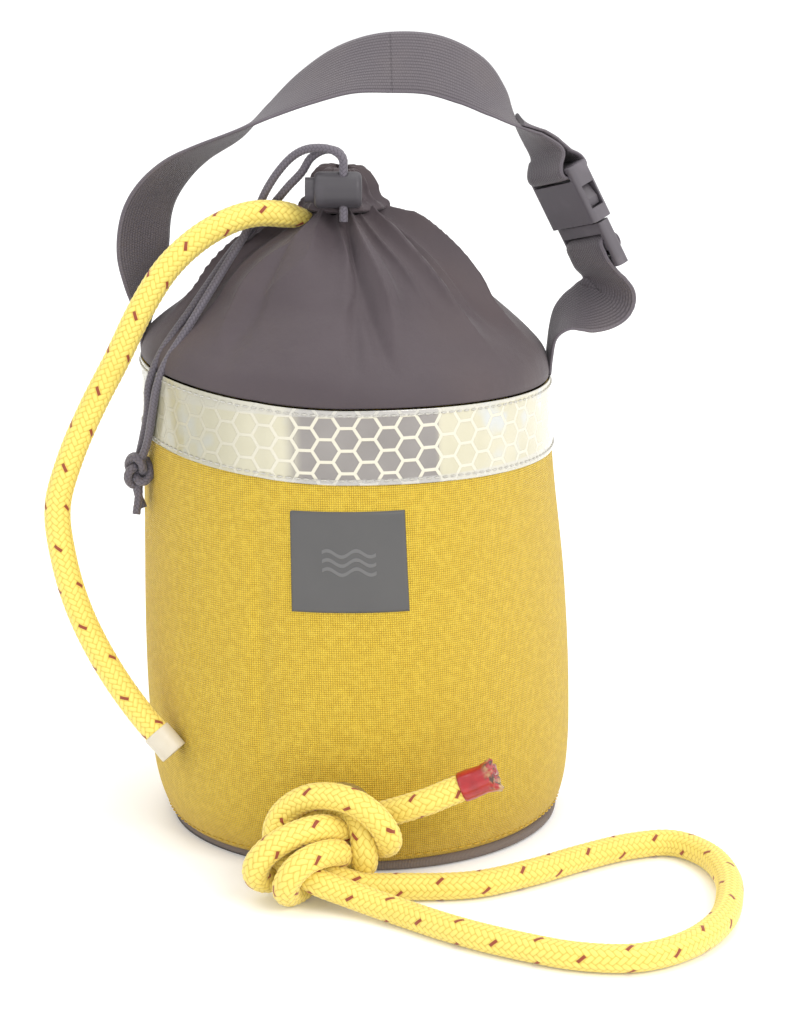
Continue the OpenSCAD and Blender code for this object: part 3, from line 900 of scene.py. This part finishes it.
def stitchRow(name, z, out, pitch=3.1 * mm):
    count = int(2 * np.pi * 0.0755 / pitch)
    angle = np.arange(count) / count * 2 * np.pi - np.pi
    centre = wallPoint(angle, z + 0 * angle, out)
    ahead = wallPoint(angle + 0.01, z + 0 * angle, out)
    normal = np.stack([np.cos(angle), np.sin(angle), 0 * angle], 1)
    return stitchMesh(name, centre, unit(ahead - centre), normal)


filmStitches = joined("filmStitches", [stitchRow("stitchTop", 167.6 * mm, 0.62 * mm),
                                       stitchRow("stitchLow", 144.9 * mm, 0.62 * mm)])
place(filmStitches, "bag", "reflective_tape", threadFinish("paleThread", (0.62, 0.60, 0.55)))
footStitches = stitchRow("footStitches", 6.6 * mm, 0.12 * mm, 3.4 * mm)
yellowThread = threadFinish("yellowThread", (0.70, 0.45, 0.04))
place(footStitches, "bag", "yellow_cloth", yellowThread)


def seamRows():  # two rows of stitches down the seam at the back
    z = np.arange(seamLook["low"] + 2 * mm, seamLook["high"] - 2 * mm, seamLook["pitch"])
    up = np.tile([0.0, 0.0, 1.0], (len(z), 1))
    rows = []
    for side in (-1, 1):
        angle = math.pi / 2 + side * seamLook["stitchRow"] / seamLook["radius"] + 0 * z
        out = np.stack([np.cos(angle), np.sin(angle), 0 * angle], 1)
        rows.append(stitchMesh("seamRow", wallPoint(angle, z, 0.55 * mm), up, out))
    return joined("seamStitches", rows)


place(seamRows(), "bag", "yellow_cloth", yellowThread)
print("trim made")


# the handle's webbing

webbingSize = {"width": 25 * mm, "thick": 1.7 * mm}
hingeY = 4 * mm
leftSteps = [[-76.3, 168.5, 0], [-77.4, 171.5, 0], [-78.0, 177, 0], [-77.8, 184, -3], [-77.4, 189, -10],
             [-77.4, 195, -20], [-77.6, 202, -32], [-78, 214, -44], [-76.6, 225, -42], [-72.8, 233.6, -36],
             [-65.4, 242.0, -28], [-56, 248.4, -19], [-44, 254.4, -12], [-32, 262.8, 5], [-17, 272.2, 25],
             [-2, 278.8, 41], [13, 281.2, 50]]
topSteps = [[13, 280.9, 54], [27, 280.2, 54], [39.6, 275.6, 46], [50, 267.8, 26], [56.2, 261.2, 6],
            [61, 256.4, -10], [65.6, 252.4, -22]]


def stepFrames(steps):  # centre and width direction from [x, z, roll] steps
    line = curveThrough(arr(steps) * mm, 1.0 * mm)
    centre = np.c_[line[:, 0], np.full(len(line), hingeY), line[:, 1]]
    t = unit(np.gradient(centre, axis=0))
    out = np.c_[-t[:, 2], 0 * t[:, 1], t[:, 0]]
    roll = np.radians(line[:, 2:] / mm)
    return centre, np.cos(roll) * arr((0, 1, 0)) + np.sin(roll) * out


def webbingMesh(name, centre, wide, trim=(0, None)):
    w, h = webbingSize["width"] / 2, webbingSize["thick"] / 2
    t = unit(np.gradient(centre, axis=0))
    wide = unit(wide - t * (wide * t).sum(1, keepdims=True))
    thick = np.cross(t, wide)
    top = np.linspace(-1, 1, 15)
    crown = 1 - np.abs(top) ** 8 * 0.55
    ring = np.vstack([np.c_[top * w, crown * h], np.c_[top[::-1] * w, -crown * h]])
    rows = centre[:, None] + ring[None, :, :1] * wide[:, None] + ring[None, :, 1:] * thick[:, None]
    u = np.concatenate([top * w, top[::-1] * w, top[:1] * w])
    s = runOf(centre)[:, None]
    cut = slice(*trim)
    return gridMesh(name, rows[cut], ((u + 0 * s)[cut], (s + 0 * u)[cut]), closed=True, caps=True)


def webbingFinish():
    f = Finish("darkWebbing", Roughness=0.62, Sheen_Weight=0.08, Sheen_Roughness=0.5)
    u, v, _ = f.uv()
    p = u / (1.25 * mm)
    q = v / (0.9 * mm) + p.floor() * 0.5
    rib = 1 - p.part().spread() ** 2
    pick = 1 - q.part().spread() ** 2
    height = rib * 0.5 + rib * pick * 0.5
    edge = u.size().soft(11.3 * mm, 12.2 * mm)
    tone = f.blend(height, (0.058, 0.049, 0.058), (0.122, 0.105, 0.118))
    tone = f.blend(edge * 0.5, tone, (0.15, 0.13, 0.155))
    tone = f.blend((f.noise(40, 3) - 0.4).soft(0, 0.4) * 0.3, tone, (0.15, 0.125, 0.12))
    return f.feed(Base_Color=tone, Normal=f.bump(height, 0.35 * mm, 0.6))


darkWebbing = webbingFinish()

tilt, roll = math.radians(-26.5), math.radians(30)
bucklePlace = arr((82.5, 4, 223)) * mm
tilted = arr([[math.cos(tilt), 0, math.sin(tilt)], [0, 1, 0], [-math.sin(tilt), 0, math.cos(tilt)]])
rolled = arr([[math.cos(roll), -math.sin(roll), 0], [math.sin(roll), math.cos(roll), 0], [0, 0, 1]])
buckleTurn = tilted @ rolled


def atBuckle(points):
    return bucklePlace + (arr(points) * mm) @ buckleTurn.T


buckleWide = buckleTurn @ arr((0, 1, 0))


def evenly(path, wide, step=0.8 * mm):
    both = curveThrough(np.hstack([path, wide * 0.02]), step)
    both = resample(both, step)
    return both[:, :3], unit(both[:, 3:])


# the long side and the top are one length of webbing, cut in two at its highest point
centre, wide = stepFrames(leftSteps[:-1] + topSteps)
socketTurns = [[-1.0, 0, 27.5], [-3.9, 0, 24], [-5.3, 0, 21.4], [-4.9, 0, 19.2], [-2.4, 0, 18.3],
               [2.4, 0, 18.3], [4.9, 0, 19.2], [5.3, 0, 21.4], [4.4, 0, 24], [2.2, 0, 26.6]]
turns = atBuckle(socketTurns)
path = np.vstack([centre[::5], turns])
across = np.vstack([wide[::5], np.repeat(buckleWide[None], len(turns), 0)])
centre, wide = evenly(path, across)
bend = int(np.argmin(np.linalg.norm(centre - atBuckle([-1.0, 0, 27.5]), axis=1)))
face = np.cross(unit(np.gradient(centre, axis=0)), wide)
outward = face * np.sign((face[bend] * (buckleTurn @ arr((1, 0, 0)))).sum())
back = slice(bend - 4, bend - 26, -1)  # the end is folded back over the bar and sewn down
lapped = centre[back] + outward[back] * 1.85 * mm
path = np.vstack([centre, lapped])
across = np.vstack([wide, wide[back]])
centre, wide = evenly(path, across)
topPoint = int(np.argmin(np.linalg.norm(centre - arr((13, 4, 282)) * mm, axis=1)))
webbingLeft = webbingMesh("webbingLeft", centre, wide, (0, topPoint + 1))
place(webbingLeft, None, "dark_webbing", darkWebbing, "strap_long", "strap_anchor_left")
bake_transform(webbingLeft)
webbingRight = webbingMesh("webbingRight", centre, wide, (topPoint, None))
place(webbingRight, None, "dark_webbing", darkWebbing, "strap_end")
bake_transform(webbingRight)

# the short side fans out below the buckle: near and far edges of the webbing
nearEdge = [[71.0, -8.5, 168.5], [71.6, -8.5, 175], [73.0, -8.2, 181.4], [77.2, -7, 184.6], [84, -5.5, 185.2],
            [91, -4.5, 185.0], [98, -4, 186.6], [102.6, -4, 190.2], [103.0, -4.5, 195], [100.4, -5.8, 200.6]]
farEdge = [[71.0, 16.5, 168.5], [71.6, 16.5, 175], [72.4, 16.4, 182], [74.2, 15.9, 188.2],
           [76.6, 15.3, 193.5], [79, 14.6, 197.5], [81, 14, 200], [82.4, 13.4, 201.4], [82.4, 13.2, 203],
           [81.8, 13.1, 204.2]]
ladderTurns = arr([[-3.7, 0, -15], [-3.7, 0, -11.5], [-3.4, 0, -8.4], [-1.6, 0, -6.7], [1.6, 0, -6.4],
                   [3.6, 0, -8.2], [3.6, 0, -11.4], [1.6, 0, -13.0], [-0.6, 0, -13.3]])
near = np.vstack([arr(nearEdge) * mm, atBuckle(ladderTurns - arr((0, 12.5, 0)))])
far = np.vstack([arr(farEdge) * mm, atBuckle(ladderTurns + arr((0, 12.5, 0)))])
centre, wide = evenly((near + far) / 2, unit(far - near))
webbingShort = webbingMesh("webbingShort", centre, wide)
place(webbingShort, None, "dark_webbing", darkWebbing, "strap_short", "strap_anchor_right")
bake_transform(webbingShort)
print("webbing threaded")


# hard parts, most of which keep the frame's own shape

def plasticFinish(name, tone, rough):
    f = Finish(name, Coat_Weight=0.1)
    grain = f.noise(1800, 2)
    worn = f.noise(90, 4).soft(0.52, 0.75)
    light = tuple(c * 1.7 for c in tone)
    mix = f.blend(worn * 0.5, tone, light)
    return f.feed(Base_Color=mix, Roughness=rough + worn * 0.18, Normal=f.bump(grain, 0.05 * mm, 0.5))


def metalFinish(name, tone, rough):
    f = Finish(name, Metallic=1.0)
    brushed = f.noise(600, 3)
    mix = f.blend(brushed, tuple(c * 0.8 for c in tone), tone)
    return f.feed(Base_Color=mix, Roughness=rough + brushed * 0.15, Normal=f.bump(brushed, 0.05 * mm, 0.3))


def solidCloth(name, dark, light, pitch, rough):  # cloth on a part that keeps its own mesh
    f = Finish(name, Roughness=rough)
    x, y, _ = f.apart(f.spot())
    threads = (x.ribs(pitch) + y.ribs(pitch)) * 0.5
    tone = f.blend(threads, dark, light)
    tone = f.blend(f.noise(30, 3) * 0.4, tone, dark)
    return f.feed(Base_Color=tone, Normal=f.bump(threads, 0.2 * mm, 0.6))


def foamFinish():
    f = Finish("closedFoam", Roughness=0.85)
    cells = f.add("TexVoronoi", {"feature": "F1"}, Vector=f.spot(), Scale=900.0)
    tone = f.blend(cells, (0.30, 0.32, 0.35), (0.46, 0.48, 0.52))
    return f.feed(Base_Color=tone, Normal=f.bump(cells, 0.3 * mm, 0.5))


def paint(node, material):
    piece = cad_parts[node]
    piece.data.materials.clear()
    piece.data.materials.append(material)


buckleBlack = plasticFinish("bucklePlastic", (0.098, 0.087, 0.100), 0.45)
lockBlack = plasticFinish("lockPlastic", (0.050, 0.045, 0.052), 0.55)
for node in ("buckle_socket", "buckle_insert", "buckle_arm_front", "buckle_arm_back"):
    paint(node, buckleBlack)
for node in ("cord_lock_barrel", "cord_lock_plunger"):
    paint(node, lockBlack)

springLook = {"turns": 2.5, "radius": 2.9 * mm, "wire": 0.3 * mm, "from": -1.25 * mm, "to": 1.4 * mm}
t = np.linspace(0, 1, 61)
turn = 2 * np.pi * springLook["turns"] * t
coil = np.stack([springLook["from"] + (springLook["to"] - springLook["from"]) * t,
                 springLook["radius"] * np.cos(turn) - 20 * mm,
                 springLook["radius"] * np.sin(turn) + 238 * mm], 1)
wireLook = dict(cordLook, radius=springLook["wire"], sides=10, relief=0.0, ringStep=0.35 * mm)
lockSpring = place(braidedTube("lockSpring", coil, wireLook, None, (1.0, 0.1, 0.1)), "cord_lock",
                   "spring_steel", metalFinish("springSteel", (0.62, 0.62, 0.63), 0.25),
                   "cord_lock_spring")
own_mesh(lockSpring)
grommetMetal = metalFinish("grommetMetal", (0.66, 0.62, 0.54), 0.28)
paint("line_grommet", grommetMetal)
paint("grommet_washer", grommetMetal)
paint("base_panel", solidCloth("baseCloth", (0.045, 0.040, 0.038), (0.095, 0.085, 0.080), 0.9 * mm, 0.8))
paint("foam_disc", foamFinish())


# the rest of the line, coiled inside the bag

pileShape = {"low": 21.5 * mm, "high": 209 * mm, "inner": 13 * mm, "outer": 62.5 * mm, "pitch": 10.2 * mm,
             "shoulder": 160 * mm}


def stuffedRope():
    inner, pitch = pileShape["inner"], pileShape["pitch"]
    rise = pitch * 0.92
    points = []
    for k in range(int((pileShape["high"] - pileShape["low"]) / rise) + 1):
        z = pileShape["low"] + k * rise
        edge = pileShape["outer"] - max(z - pileShape["shoulder"], 0) * 1.05
        turns = max((edge - inner) / pitch, 0.6)
        t = np.linspace(0, 1, int(turns * 36))
        r = edge - (edge - inner) * (t if k % 2 else 1 - t)
        a = 2 * np.pi * turns * t + k * 0.9
        points.append(np.stack([r * np.cos(a), r * np.sin(a), z + rise * (t - 0.5) * 0.2], 1))
    path = resample(np.vstack(points), 9 * mm)
    inside = dict(ropeLook, sides=10, ringStep=9 * mm, relief=0.0)
    print("line in the bag", round(lengthOf(path), 2), "m")
    return braidedTube("stuffedRope", path, inside)


place(stuffedRope(), "bag", "yellow_rope", yellowRope, "rope_pile")


# floor and light

studioLights = {"keyLight": ((1.5, -1.7, 1.9), 1.6, 38, (1, 0.98, 0.95)),  # place, size, power, colour
                "fillLight": ((-1.9, -1.2, 1.2), 1.5, 5, (0.96, 0.98, 1)),
                "topLight": ((0.1, 0.6, 2.4), 2.2, 22, (1, 1, 1))}


def studio():
    s = 14.0
    mesh = bpy.data.meshes.new("studioFloor")
    mesh.from_pydata([(-s, -s, 0), (s, -s, 0), (s, s, 0), (-s, s, 0)], [], [(0, 1, 2, 3)])
    f = Finish("paleFloor", Roughness=0.9, Emission_Strength=0.10)
    pale = f.blend(f.noise(3, 2), (0.93, 0.93, 0.93), (0.95, 0.95, 0.95))
    mesh.materials.append(f.feed(Base_Color=pale, Emission_Color=pale))
    linked("studioFloor", mesh)
    for name, (spot, size, power, tone) in studioLights.items():
        data = bpy.data.lights.new(name, "AREA")
        data.size = size
        data.energy = power
        data.color = tone
        lamp = linked(name, data)
        lamp.location = spot
        aim = Vector((0, -0.03, 0.13)) - Vector(spot)
        lamp.rotation_euler = aim.to_track_quat("-Z", "Y").to_euler()
    world = bpy.data.worlds.new("studioWorld")
    world.use_nodes = True
    world.node_tree.nodes["Background"].inputs["Color"].default_value = (1, 1, 1, 1)
    world.node_tree.nodes["Background"].inputs["Strength"].default_value = 1.0
    scene.world = world


studio()
